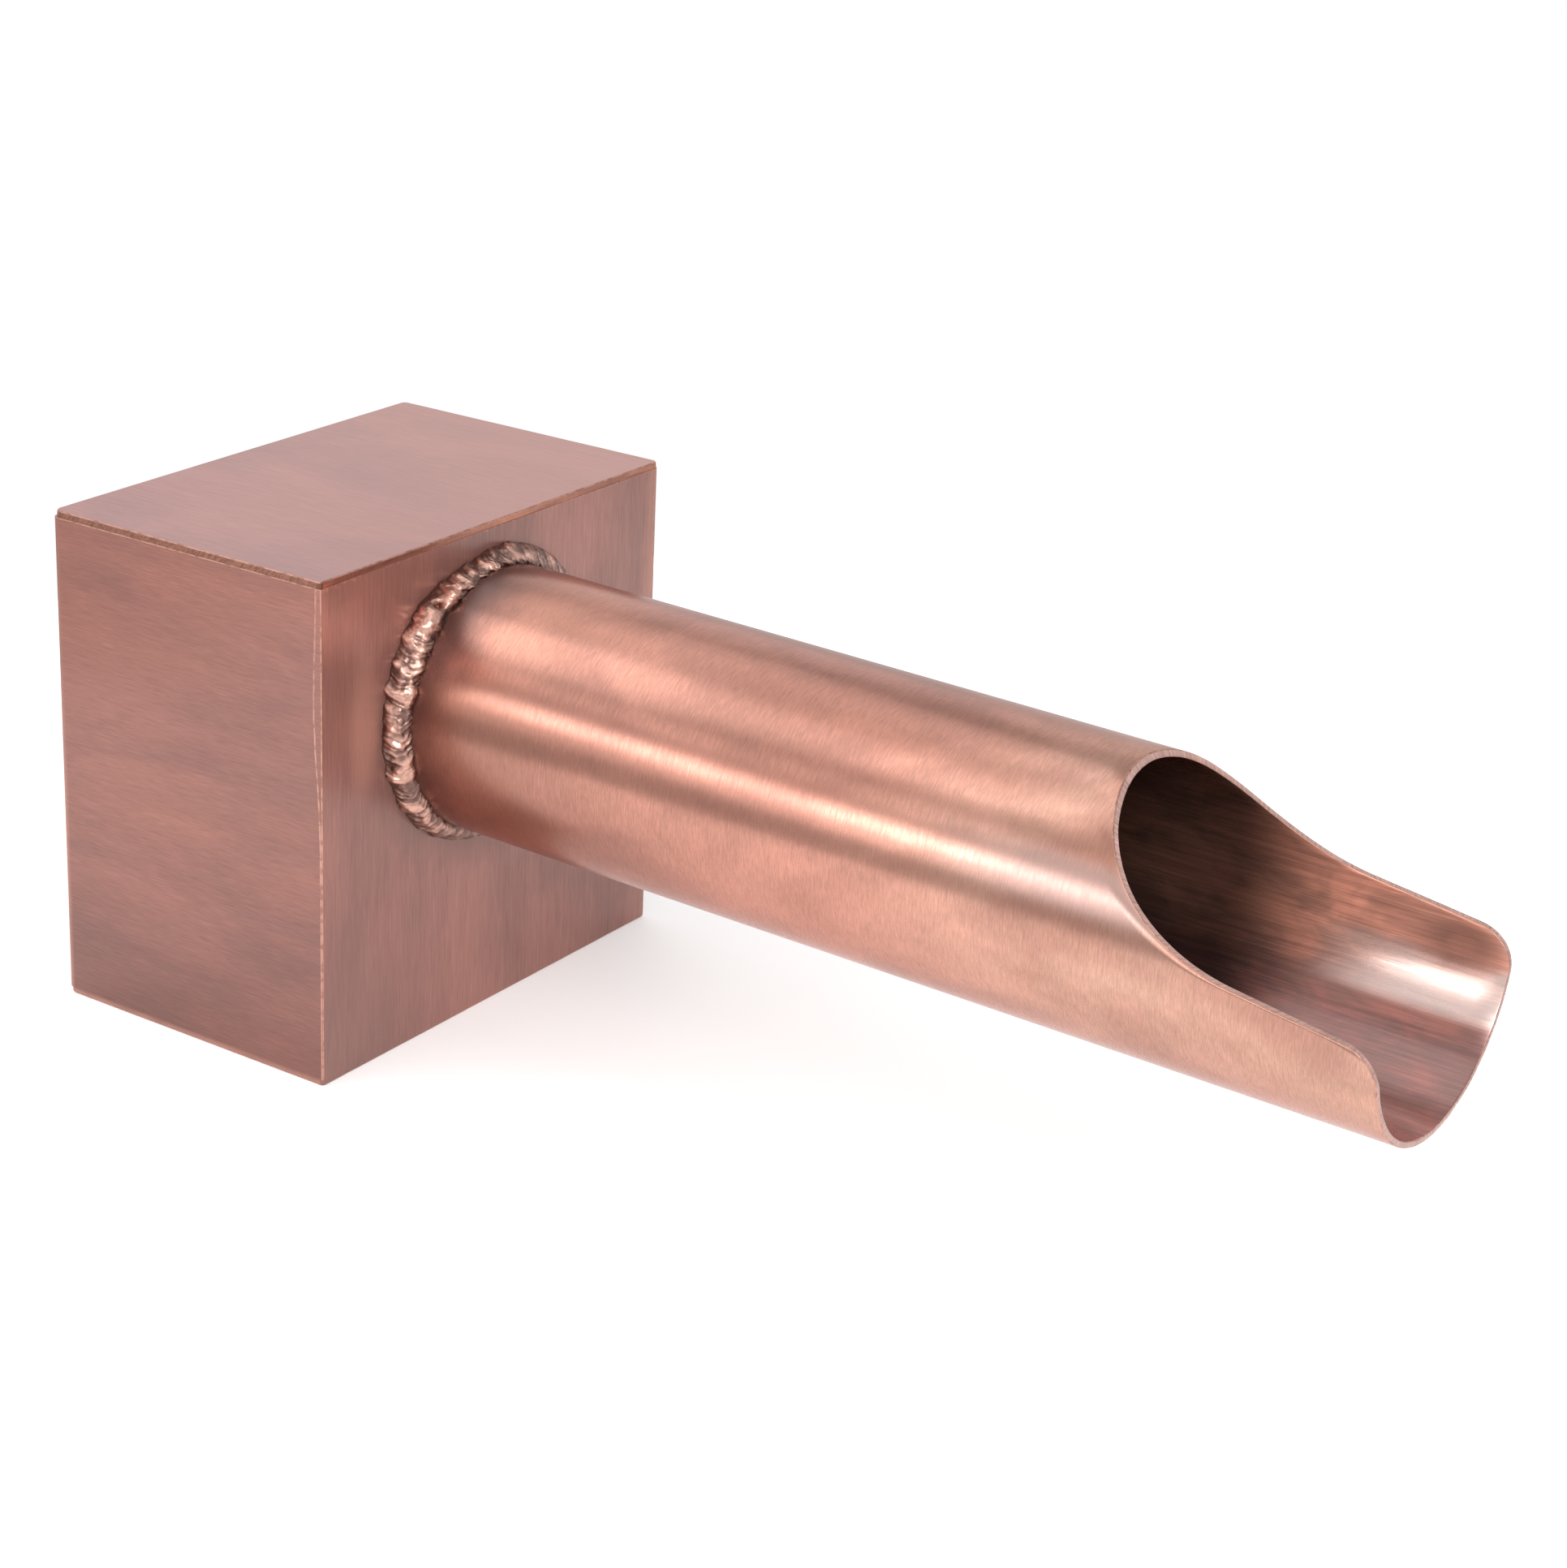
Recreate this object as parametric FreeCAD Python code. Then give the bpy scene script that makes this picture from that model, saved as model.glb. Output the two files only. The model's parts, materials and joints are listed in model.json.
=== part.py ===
"""Copper wall scupper: a welded plate box with a round spout that ends in an open scoop.

Millimetres. X runs across the box, Y from the spout's tip towards the wall, Z up.
The origin is the middle of the box's underside.
"""
import FreeCAD, Part
import math
import os

from FreeCAD import Placement, Rotation, Vector

# Box of six flat plates, welded along its corners and ground
BOX_WIDTH = 157.2
BOX_DEPTH = 101.6
BOX_HEIGHT = 152.4
PLATE_THICKNESS = 2.0
UPRIGHT_CORNER_RADIUS = 2.0
RIM_EDGE_RADIUS = 0.7

# Spout: a drawn tube through the front plate
SPOUT_DIAMETER = 79.4
SPOUT_WALL = 1.83
SPOUT_REACH = 304.8
SPOUT_SIDE_OFFSET = -8.0
SPOUT_CROWN_BELOW_TOP = 11.2
SPOUT_FALL_DEG = 1.2
SPOUT_STUB_INSIDE = 3.0
SPOUT_HOLE_CLEARANCE = 0.2

# Scoop: the hand-made cut that opens the top of the spout towards its tip
SCOOP_LENGTH = 88.3
SCOOP_STEEP_DEG = 55.2
SCOOP_SHALLOW_DEG = 7.9
SCOOP_BEND_RADIUS = 62.9
LIP_BELOW_AXIS = 0.5
LIP_CORNER_RADIUS = 11.2
SCOOP_ROLL_DEG = 3.7
SCOOP_SKEW_DEG = 1.2

# Weld bead round the spout: a ring of scale-like puddles in the corner of tube and plate.
# It is laid by hand: on the plate it thins to a narrow spot on one side of the crown and spreads
# to a wide spot on the other, and its leg on the tube swells and thins once a turn.
# Turns are clockwise from the crown, seen from the tip.
PUDDLE_PITCH = 4.4
LEG_ON_PLATE = 4.9
NARROW_SPOT_LOSS = 2.9
NARROW_SPOT_TURN_DEG = 347.0
WIDE_SPOT_GAIN = 2.2
WIDE_SPOT_TURN_DEG = 45.0
SPOT_SPREAD_DEG = 20.0
LEG_ON_TUBE = 6.4
LEG_ON_TUBE_SWELL = 1.1
TUBE_SWELL_TURN_DEG = 40.0
# Small unevenness of the puddles' legs, and how far its wave moves on with each puddle
PUDDLE_LEG_VARIATION = 0.3
PUDDLE_WAVE_STEP_DEG = 137.5
PUDDLE_STEP = 0.7
WELD_TRIM_ALLOWANCE = 0.6
# Where along a puddle's pitch its crest has thinned to the step
PUDDLE_TAIL_AT = 0.8
# How far the crown stands out as a share of the leg; 0.5 would be a flat face
CREST_FULLNESS = 0.74
TAIL_FULLNESS = 0.70
# Flats that make up the round outside of the bead
BEAD_FLATS = 7

# Inlet: a plain round hole in the back plate, for a supply tube in line with the spout
INLET_TUBE_DIAMETER = 79.4
INLET_CLEARANCE = 0.25

# Room that a cutting tool needs past what it cuts
TOOL_OVERRUN = 20.0

SPOUT_RADIUS = SPOUT_DIAMETER / 2
SPOUT_AXIS_HEIGHT = BOX_HEIGHT - SPOUT_CROWN_BELOW_TOP - SPOUT_RADIUS
FRONT_FACE = -BOX_DEPTH / 2
BACK_FACE = BOX_DEPTH / 2


def block(low, high):
    """A rectangular block between two opposite corners."""
    size = high - low
    return Part.makeBox(size.x, size.y, size.z, low)


def ground_envelope():
    """The outer form of the welded box: upright corners ground well round, top and bottom rims less."""
    corner = Vector(BOX_WIDTH / 2, BOX_DEPTH / 2, BOX_HEIGHT)
    body = block(Vector(-corner.x, -corner.y, 0), corner)
    uprights = [edge for edge in body.Edges if edge.BoundBox.ZLength > BOX_HEIGHT / 2]
    body = body.makeFillet(UPRIGHT_CORNER_RADIUS, uprights)
    rims = [edge for edge in body.Edges if edge.BoundBox.ZLength < BOX_HEIGHT / 2]
    return body.makeFillet(RIM_EDGE_RADIUS, rims)


def box_plates(envelope):
    """The six plates: top and bottom over the sides, front and back between them."""
    t = PLATE_THICKNESS
    half_width = BOX_WIDTH / 2
    inner_x = half_width - t
    inner_y = BOX_DEPTH / 2 - t
    inner_top = BOX_HEIGHT - t
    slabs = {
        "bottom_plate": (Vector(-half_width, FRONT_FACE, 0), Vector(half_width, BACK_FACE, t)),
        "top_plate": (Vector(-half_width, FRONT_FACE, inner_top), Vector(half_width, BACK_FACE, BOX_HEIGHT)),
        "left_plate": (Vector(-half_width, FRONT_FACE, t), Vector(-inner_x, BACK_FACE, inner_top)),
        "right_plate": (Vector(inner_x, FRONT_FACE, t), Vector(half_width, BACK_FACE, inner_top)),
        "front_plate": (Vector(-inner_x, FRONT_FACE, t), Vector(inner_x, -inner_y, inner_top)),
        "back_plate": (Vector(-inner_x, inner_y, t), Vector(inner_x, BACK_FACE, inner_top)),
    }
    return {name: envelope.common(block(low, high)) for name, (low, high) in slabs.items()}


def spout_placement():
    """Sets what is drawn about the Y axis, tip towards -Y, on the falling line of the spout."""
    seat = Vector(SPOUT_SIDE_OFFSET, FRONT_FACE, SPOUT_AXIS_HEIGHT)
    return Placement(seat, Rotation(Vector(1, 0, 0), SPOUT_FALL_DEG))


def rod(radius, start, end):
    """A cylinder about the spout's own axis, between two distances from the front plate's face."""
    return Part.makeCylinder(radius, end - start, Vector(0, -start, 0), Vector(0, -1, 0))


def rounded_path(points, radii):
    """Edges through the points, with a tangent arc of the given radius at each inner point."""
    edges = []
    start = points[0]
    for before, corner, after, radius in zip(points, points[1:], points[2:], radii):
        to_before = (before - corner).normalize()
        to_after = (after - corner).normalize()
        half_angle = to_before.getAngle(to_after) / 2
        if radius:
            tangent = radius / math.tan(half_angle)
            arc_start = corner + to_before * tangent
            arc_end = corner + to_after * tangent
            middle_way = (to_before + to_after).normalize()
            crown = corner + middle_way * (radius / math.sin(half_angle) - radius)
            edges.append(Part.LineSegment(start, arc_start).toShape())
            edges.append(Part.Arc(arc_start, crown, arc_end).toShape())
            start = arc_end
        else:
            edges.append(Part.LineSegment(start, corner).toShape())
            start = corner
    edges.append(Part.LineSegment(start, points[-1]).toShape())
    return edges


def scoop_cutter():
    """What the scoop cut takes away, as a side outline pulled across the tube.

    A steep straight cut comes down from the crown, bends into a shallow one, and turns down
    at the lip into the square-cut end.
    """
    steep = math.tan(math.radians(SCOOP_STEEP_DEG))
    shallow = math.tan(math.radians(SCOOP_SHALLOW_DEG))
    crown_at = SPOUT_REACH - SCOOP_LENGTH
    drop_to_lip = SPOUT_RADIUS + LIP_BELOW_AXIS
    bend_run = (drop_to_lip - shallow * SCOOP_LENGTH) / (steep - shallow)
    far = SPOUT_REACH + TOOL_OVERRUN
    outside = SPOUT_RADIUS + TOOL_OVERRUN

    start = Vector(0, -(crown_at - TOOL_OVERRUN / steep), outside)
    bend = Vector(0, -(crown_at + bend_run), SPOUT_RADIUS - steep * bend_run)
    lip = Vector(0, -SPOUT_REACH, -LIP_BELOW_AXIS)
    end_foot = Vector(0, -SPOUT_REACH, -outside)
    points = [start, bend, lip, end_foot, Vector(0, -far, -outside), Vector(0, -far, outside), start]
    radii = [SCOOP_BEND_RADIUS, LIP_CORNER_RADIUS, 0, 0, 0]

    outline = Part.Face(Part.Wire(rounded_path(points, radii)))
    outline.translate(Vector(-outside, 0, 0))
    cutter = outline.extrude(Vector(2 * outside, 0, 0))
    cutter.rotate(Vector(0, 0, 0), Vector(0, -1, 0), SCOOP_ROLL_DEG)
    cutter.rotate(lip, Vector(0, 0, 1), -SCOOP_SKEW_DEG)
    return cutter


def spout_tube():
    """The tube from its stub inside the box to the scoop."""
    inner_end = -(PLATE_THICKNESS + SPOUT_STUB_INSIDE)
    blank_end = SPOUT_REACH + TOOL_OVERRUN / 2
    bore_start = inner_end - TOOL_OVERRUN
    tube = rod(SPOUT_RADIUS, inner_end, blank_end)
    tube = tube.cut(rod(SPOUT_RADIUS - SPOUT_WALL, bore_start, blank_end + TOOL_OVERRUN))
    tube = tube.cut(scoop_cutter())
    tube.Placement = spout_placement()
    return tube


def spout_hole():
    """The round hole that the front plate needs for the falling tube."""
    hole = rod(SPOUT_RADIUS + SPOUT_HOLE_CLEARANCE, -PLATE_THICKNESS - TOOL_OVERRUN, TOOL_OVERRUN)
    hole.Placement = spout_placement()
    return hole


def inlet_hole():
    """The level round hole in the back plate, in line with the spout."""
    rise = BOX_DEPTH * math.tan(math.radians(SPOUT_FALL_DEG))
    centre = Vector(SPOUT_SIDE_OFFSET, BACK_FACE - PLATE_THICKNESS - TOOL_OVERRUN, SPOUT_AXIS_HEIGHT + rise)
    radius = INLET_TUBE_DIAMETER / 2 + INLET_CLEARANCE
    return Part.makeCylinder(radius, PLATE_THICKNESS + 2 * TOOL_OVERRUN, centre, Vector(0, 1, 0))


def spot(turn, centre_deg):
    """1 at a spot on the bead's ring, falling smoothly to 0 on both sides of it."""
    away = math.remainder(turn - math.radians(centre_deg), 2 * math.pi)
    return math.exp(-(away / math.radians(SPOT_SPREAD_DEG)) ** 2)


def weld_section(turn, trim, fullness):
    """A slice across the bead: straight towards the tube and the plate, rounded by flats outside.

    The turn is measured from the spout's crown; trim is added to both legs.
    """
    across = math.sin(turn)
    up = math.cos(turn)
    fall = math.tan(math.radians(SPOUT_FALL_DEG))
    narrowed = NARROW_SPOT_LOSS * spot(turn, NARROW_SPOT_TURN_DEG)
    widened = WIDE_SPOT_GAIN * spot(turn, WIDE_SPOT_TURN_DEG)
    tube_swell = math.cos(turn + math.radians(TUBE_SWELL_TURN_DEG))
    on_plate = LEG_ON_PLATE - narrowed + widened + trim
    on_tube = LEG_ON_TUBE + LEG_ON_TUBE_SWELL * tube_swell + trim

    def at(off_tube, off_plate):
        from_axis = SPOUT_RADIUS + off_tube
        plate_face = -from_axis * up * fall
        return Vector(from_axis * across, -(plate_face + off_plate), from_axis * up)

    plate_toe = at(on_plate, -WELD_TRIM_ALLOWANCE)
    crown = at(on_plate * fullness, on_tube * fullness)
    tube_toe = at(-WELD_TRIM_ALLOWANCE, on_tube)
    root = at(-WELD_TRIM_ALLOWANCE, -WELD_TRIM_ALLOWANCE)
    outside = Part.Arc(plate_toe, crown, tube_toe).toShape().discretize(Number=BEAD_FLATS + 1)
    return Part.makePolygon(outside + [root, outside[0]])


def weld_bead():
    """The ring of puddles, trimmed to the tube and to the front plate.

    Each puddle starts at a full crest and thins towards the next one, which laps over it.
    """
    count = round(2 * math.pi * (SPOUT_RADIUS + LEG_ON_PLATE / 2) / PUDDLE_PITCH)
    slices = []
    for index in range(count):
        variation = PUDDLE_LEG_VARIATION * math.sin(math.radians(PUDDLE_WAVE_STEP_DEG) * index)
        crest_at = 2 * math.pi * index / count
        tail_at = 2 * math.pi * (index + PUDDLE_TAIL_AT) / count
        slices.append(weld_section(crest_at, variation, CREST_FULLNESS))
        slices.append(weld_section(tail_at, variation - PUDDLE_STEP, TAIL_FULLNESS))
    ring = Part.makeLoft(slices, True, True, True)
    ring = ring.cut(rod(SPOUT_RADIUS, -TOOL_OVERRUN, TOOL_OVERRUN))
    ring.Placement = spout_placement()
    wall = BOX_WIDTH + TOOL_OVERRUN
    behind_plate = block(Vector(-wall, FRONT_FACE, -wall), Vector(wall, BACK_FACE, BOX_HEIGHT + wall))
    return ring.cut(behind_plate)


def make_parts():
    parts = box_plates(ground_envelope())
    parts["front_plate"] = parts["front_plate"].cut(spout_hole())
    parts["back_plate"] = parts["back_plate"].cut(inlet_hole())
    parts["spout_tube"] = spout_tube()
    parts["spout_weld"] = weld_bead()
    return parts


os.makedirs("parts", exist_ok=True)
for node, shape in make_parts().items():
    shape.exportStep("parts/" + node + ".step")
    print(node, "solids", len(shape.Solids), "volume", round(shape.Volume, 1), "valid", shape.isValid())
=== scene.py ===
"""Dresses the copper scupper: hand-ground plates, drawn spout, rippled weld and studio light."""
import json
import math
import random

import bmesh
import bpy
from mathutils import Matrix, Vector, noise


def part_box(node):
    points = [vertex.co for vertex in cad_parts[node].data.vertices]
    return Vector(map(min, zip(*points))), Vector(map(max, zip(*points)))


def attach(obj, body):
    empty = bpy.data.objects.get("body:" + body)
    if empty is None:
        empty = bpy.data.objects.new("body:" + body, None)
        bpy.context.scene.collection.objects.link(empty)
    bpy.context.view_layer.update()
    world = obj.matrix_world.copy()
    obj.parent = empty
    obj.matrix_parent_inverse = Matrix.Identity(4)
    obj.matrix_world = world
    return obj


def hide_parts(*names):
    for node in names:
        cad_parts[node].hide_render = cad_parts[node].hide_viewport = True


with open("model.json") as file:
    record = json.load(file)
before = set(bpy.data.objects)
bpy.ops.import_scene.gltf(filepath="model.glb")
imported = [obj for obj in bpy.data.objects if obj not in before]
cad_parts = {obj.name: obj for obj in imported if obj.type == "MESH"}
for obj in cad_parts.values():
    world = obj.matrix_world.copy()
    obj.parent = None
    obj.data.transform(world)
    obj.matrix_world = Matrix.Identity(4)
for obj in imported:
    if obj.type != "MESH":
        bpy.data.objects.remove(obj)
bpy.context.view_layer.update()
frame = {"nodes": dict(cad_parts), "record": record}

MM = 0.001

# The camera that matches the photograph
CAMERA_AT = Vector((-0.73805, -0.62963, 0.44541))
CAMERA_TURN_DEG = (68.8245, -2.0195, -54.8830)
CAMERA_LENS_MM = 77.782
CAMERA_SHIFT = (0.04995, -0.02172)
SENSOR_WIDTH_MM = 36
CLIP_RANGE = (0.01, 50)


def mount(name):
    """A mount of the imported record."""
    return next(entry for entry in frame["record"]["mounts"] if entry["name"] == name)


def corners(node):
    """A node's lowest and highest corners as vectors."""
    low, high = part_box(node)
    return Vector(low), Vector(high)


# The spout's own axes: right, ahead towards the tip, and up
SPOUT_SEAT = Vector(mount("spout_bore")["pos_m"])
SPOUT_AHEAD = Vector(mount("spout_bore")["axis"]).normalized()
SPOUT_RIGHT = Vector((1, 0, 0))
SPOUT_UP = SPOUT_AHEAD.cross(SPOUT_RIGHT).normalized()
BORE_RADIUS = mount("spout_bore")["dims"]["r_mm"] * MM
TUBE_LOW, TUBE_HIGH = corners("spout_tube")
SPOUT_RADIUS = (TUBE_HIGH.x - TUBE_LOW.x) / 2
SPOUT_FALL = math.asin(-SPOUT_AHEAD.z)

# The box: the side plates give its width and depth, the top plate its height and thickness
LEFT_LOW, LEFT_HIGH = corners("left_plate")
TOP_LOW, TOP_HIGH = corners("top_plate")
HALF_WIDTH = -LEFT_LOW.x
HALF_DEPTH = LEFT_HIGH.y
BOX_TOP = TOP_HIGH.z
THICKNESS = TOP_HIGH.z - TOP_LOW.z

# The scoop cut, as on the solid tube
SPOUT_REACH = 304.8 * MM
SPOUT_STUB = 5.0 * MM
SCOOP_LENGTH = 88.3 * MM
SCOOP_STEEP = math.radians(55.2)
SCOOP_SHALLOW = math.radians(7.9)
SCOOP_BEND_RADIUS = 62.9 * MM
LIP_BELOW_AXIS = 0.5 * MM
LIP_CORNER_RADIUS = 11.2 * MM
SCOOP_ROLL = math.radians(3.7)
SCOOP_SKEW = math.radians(1.2)


def spout_point(across, ahead, up):
    """A point given in the spout's own axes, from its seat in the front plate's face."""
    return SPOUT_SEAT + SPOUT_RIGHT * across + SPOUT_AHEAD * ahead + SPOUT_UP * up


def new_piece(name, mesh_builder, materials):
    """Turns a filled bmesh into an object that rides on the part."""
    mesh = bpy.data.meshes.new(name)
    mesh_builder.to_mesh(mesh)
    mesh_builder.free()
    for material in materials:
        mesh.materials.append(material)
    piece = bpy.data.objects.new(name, mesh)
    bpy.context.scene.collection.objects.link(piece)
    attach(piece, "root")
    return piece


# Node-tree helpers

def start_material(name):
    """An empty material with its Principled shader wired to the output."""
    material = bpy.data.materials.new(name)
    material.use_nodes = True
    nodes = material.node_tree.nodes
    nodes.clear()
    output = nodes.new("ShaderNodeOutputMaterial")
    shader = nodes.new("ShaderNodeBsdfPrincipled")
    material.node_tree.links.new(shader.outputs["BSDF"], output.inputs["Surface"])
    shader.inputs["Metallic"].default_value = 1.0
    return material, shader


def feed(tree, socket, value):
    """Wires an output into a socket, or sets the socket to a plain value."""
    if isinstance(value, bpy.types.NodeSocket):
        tree.links.new(value, socket)
    else:
        socket.default_value = value


def calc(tree, operation, first, second=0.0, third=None):
    """One arithmetic step."""
    node = tree.nodes.new("ShaderNodeMath")
    node.operation = operation
    feed(tree, node.inputs[0], first)
    feed(tree, node.inputs[1], second)
    if third is not None:
        feed(tree, node.inputs[2], third)
    return node.outputs[0]


def total(tree, *values):
    """Sum of several values."""
    result = values[0]
    for value in values[1:]:
        result = calc(tree, "ADD", result, value)
    return result


def product(tree, *values):
    """Product of several values."""
    result = values[0]
    for value in values[1:]:
        result = calc(tree, "MULTIPLY", result, value)
    return result


def vector_calc(tree, operation, first, second=(0, 0, 0), scale=None):
    """One step of vector arithmetic."""
    node = tree.nodes.new("ShaderNodeVectorMath")
    node.operation = operation
    feed(tree, node.inputs[0], first)
    feed(tree, node.inputs[1], second)
    if scale is not None:
        feed(tree, node.inputs["Scale"], scale)
    return node.outputs["Value" if operation in ("DOT_PRODUCT", "LENGTH", "DISTANCE") else "Vector"]


def remap(tree, value, low, high, to_low=0.0, to_high=1.0, smooth=True):
    """Maps a value from one range to another, clamped at both ends."""
    node = tree.nodes.new("ShaderNodeMapRange")
    node.interpolation_type = "SMOOTHSTEP" if smooth else "LINEAR"
    feed(tree, node.inputs["Value"], value)
    feed(tree, node.inputs["From Min"], low)
    feed(tree, node.inputs["From Max"], high)
    feed(tree, node.inputs["To Min"], to_low)
    feed(tree, node.inputs["To Max"], to_high)
    return node.outputs["Result"]


def mix_colour(tree, amount, first, second):
    """The first colour, turning into the second as the amount goes from 0 to 1."""
    node = tree.nodes.new("ShaderNodeMix")
    node.data_type = "RGBA"
    node.clamp_factor = True
    feed(tree, node.inputs["Factor"], amount)
    colours = [socket for socket in node.inputs if socket.type == "RGBA"]
    for socket, value in zip(colours, (first, second)):
        feed(tree, socket, (*value, 1.0) if isinstance(value, tuple) else value)
    return next(out for out in node.outputs if out.type == "RGBA")


def shaded(tree, tone, value, strength):
    """Lightens or darkens a colour as a noise value lies over or under its middle."""
    factor = calc(tree, "MULTIPLY_ADD", calc(tree, "SUBTRACT", value, 0.5), strength, 1.0)
    return vector_calc(tree, "SCALE", tone, scale=factor)


def place(tree):
    """Coordinates in metres in the part's own frame."""
    return tree.nodes.new("ShaderNodeTexCoord").outputs["Object"]


def axes(tree, vector):
    """The three coordinates of a vector."""
    node = tree.nodes.new("ShaderNodeSeparateXYZ")
    feed(tree, node.inputs[0], vector)
    return node.outputs[0], node.outputs[1], node.outputs[2]


def joined(tree, *values):
    """A vector from three values."""
    node = tree.nodes.new("ShaderNodeCombineXYZ")
    for index, value in enumerate(values):
        feed(tree, node.inputs[index], value)
    return node.outputs["Vector"]


def grain(tree, vector, sizes_mm, detail=2.0, roughness=0.5, distortion=0.0, shift=0.0):
    """Soft noise, mostly between 0.3 and 0.7, whose features have the given size along each axis."""
    node = tree.nodes.new("ShaderNodeMapping")
    feed(tree, node.inputs["Vector"], vector)
    node.inputs["Scale"].default_value = [1 / (size * MM) for size in sizes_mm]
    node.inputs["Location"].default_value = (shift, shift, shift)
    texture = tree.nodes.new("ShaderNodeTexNoise")
    feed(tree, texture.inputs["Vector"], node.outputs["Vector"])
    texture.inputs["Scale"].default_value = 1.0
    texture.inputs["Detail"].default_value = detail
    texture.inputs["Roughness"].default_value = roughness
    texture.inputs["Distortion"].default_value = distortion
    return texture.outputs["Fac"]


def bump(tree, height, depth):
    """A bump of the given depth in metres for heights of 0 to 1."""
    node = tree.nodes.new("ShaderNodeBump")
    feed(tree, node.inputs["Height"], height)
    node.inputs["Distance"].default_value = depth
    node.inputs["Strength"].default_value = 1.0
    return node.outputs["Normal"]


def spout_place(tree):
    """Coordinates in the spout's own axes: across, ahead and up."""
    away = vector_calc(tree, "SUBTRACT", place(tree), tuple(SPOUT_SEAT))
    return joined(tree, *[vector_calc(tree, "DOT_PRODUCT", away, tuple(axis))
                          for axis in (SPOUT_RIGHT, SPOUT_AHEAD, SPOUT_UP)])


def facing_strip(tree, across, up, turn, radius, edge_deg, core_deg):
    """1 along the part of a tube that faces a turn, fading to 0 at its edges."""
    facing = calc(tree, "MULTIPLY_ADD", across, math.sin(turn), product(tree, up, math.cos(turn)))
    edge, core = (radius * math.cos(math.radians(angle)) for angle in (edge_deg, core_deg))
    return remap(tree, facing, edge, core)


# Copper finishes, as linear colours
# The side, front and top tones differ partly as patina and partly as painted light: the top is lighter and greyer as
# painted sheen, and the side and front are darker as painted shade.
SIDE_TONE = (0.335, 0.138, 0.108)
SIDE_PATINA = (0.245, 0.112, 0.093)
SIDE_WORN = (0.45, 0.215, 0.160)
FRONT_TONE = (0.365, 0.160, 0.128)
FRONT_PATINA = (0.250, 0.117, 0.098)
# Heat soot round the weld, also used as painted shade under the spout.
FRONT_SOOT_AND_SHADE = (0.16, 0.085, 0.070)
# Orange patch on the front plate, lightened as painted light.
FRONT_PATCH_AND_PAINTED_LIGHT = (0.50, 0.250, 0.195)
FRONT_FOOT = (0.17, 0.090, 0.080)
# Worn right edge of the front, lightened as painted highlight of the rounded edge.
FRONT_WORN_HIGHLIGHT_STRIP = (0.46, 0.215, 0.155)
FRONT_WORN_HIGHLIGHT_MOTTLE = (0.47, 0.24, 0.18)
TOP_TONE = (0.460, 0.236, 0.220)
TOP_PATINA = (0.345, 0.200, 0.200)
TOP_WARM = (0.46, 0.225, 0.190)
EDGE_TONE = (0.47, 0.21, 0.14)
EDGE_GROUND = ((0.26, 0.125, 0.094), (0.42, 0.20, 0.145))
EDGE_RUBBED = ((0.50, 0.225, 0.155), (0.36, 0.165, 0.125))
CHIP_TONE = (0.10, 0.050, 0.040)
RIDGE_DULL = (0.36, 0.175, 0.140)
# Rubbed edge colour, lightened as painted highlight of the rounded edges.
RIDGE_RUBBED_HIGHLIGHT_TONE = (0.56, 0.30, 0.235)
TUBE_TONE = (0.520, 0.225, 0.162)
TUBE_PATINA = (0.34, 0.142, 0.100)
TUBE_ORANGE = (0.47, 0.205, 0.130)
# Painted highlight on the outer tube near the tip.
TUBE_PAINTED_HIGHLIGHT = (0.48, 0.39, 0.375)
# Paler tube tone at the tip, as painted sheen.
TIP_PAINTED_SHEEN_TONE = (0.575, 0.318, 0.235)
HEAT_TONE = (0.115, 0.052, 0.043)
# Inside tones: the upper pair painted lit, the lower pair painted shade.
INSIDE_UPPER_PAINTED_LIT = ((0.78, 0.335, 0.235), (0.50, 0.235, 0.172))
INSIDE_LOWER_PAINTED_SHADE = ((0.27, 0.099, 0.082), (0.18, 0.084, 0.075))
# Painted highlight streak on the inside far wall.
INSIDE_PAINTED_HIGHLIGHT = (0.90, 0.74, 0.69)
STAIN_TONE = (0.16, 0.088, 0.070)
RIM_TONES = ((0.30, 0.180, 0.158), (0.58, 0.36, 0.305))
WELD_TONES = ((0.17, 0.090, 0.072), (0.62, 0.350, 0.275))
GRAZING_TINT = (0.86, 0.64, 0.60, 1)
INSIDE_TINT = (1.0, 0.55, 0.48, 1)
COAT_IOR = 1.6
# Turn of the inside's painted highlight streak.
INSIDE_HIGHLIGHT_TURN = math.radians(113)
STAIN_TURN = math.radians(95)
# Turn of the outer tube's painted highlight band.
OUTSIDE_HIGHLIGHT_TURN = math.radians(293)
STROKE_CONTRAST = 0.42
STAIN_AHEAD = 292 * MM
# Centre of the front plate's orange patch, lightened as painted light.
PAINTED_LIGHT_PATCH_AT = (-60.5 * MM, -HALF_DEPTH, 106 * MM)
BRUSH_DEPTH = 0.008 * MM
STREAK_DEPTH = 0.006 * MM
GRIND_DEPTH = 0.08 * MM
FILE_DEPTH = 0.03 * MM
PIT_DEPTH = 0.04 * MM


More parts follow.
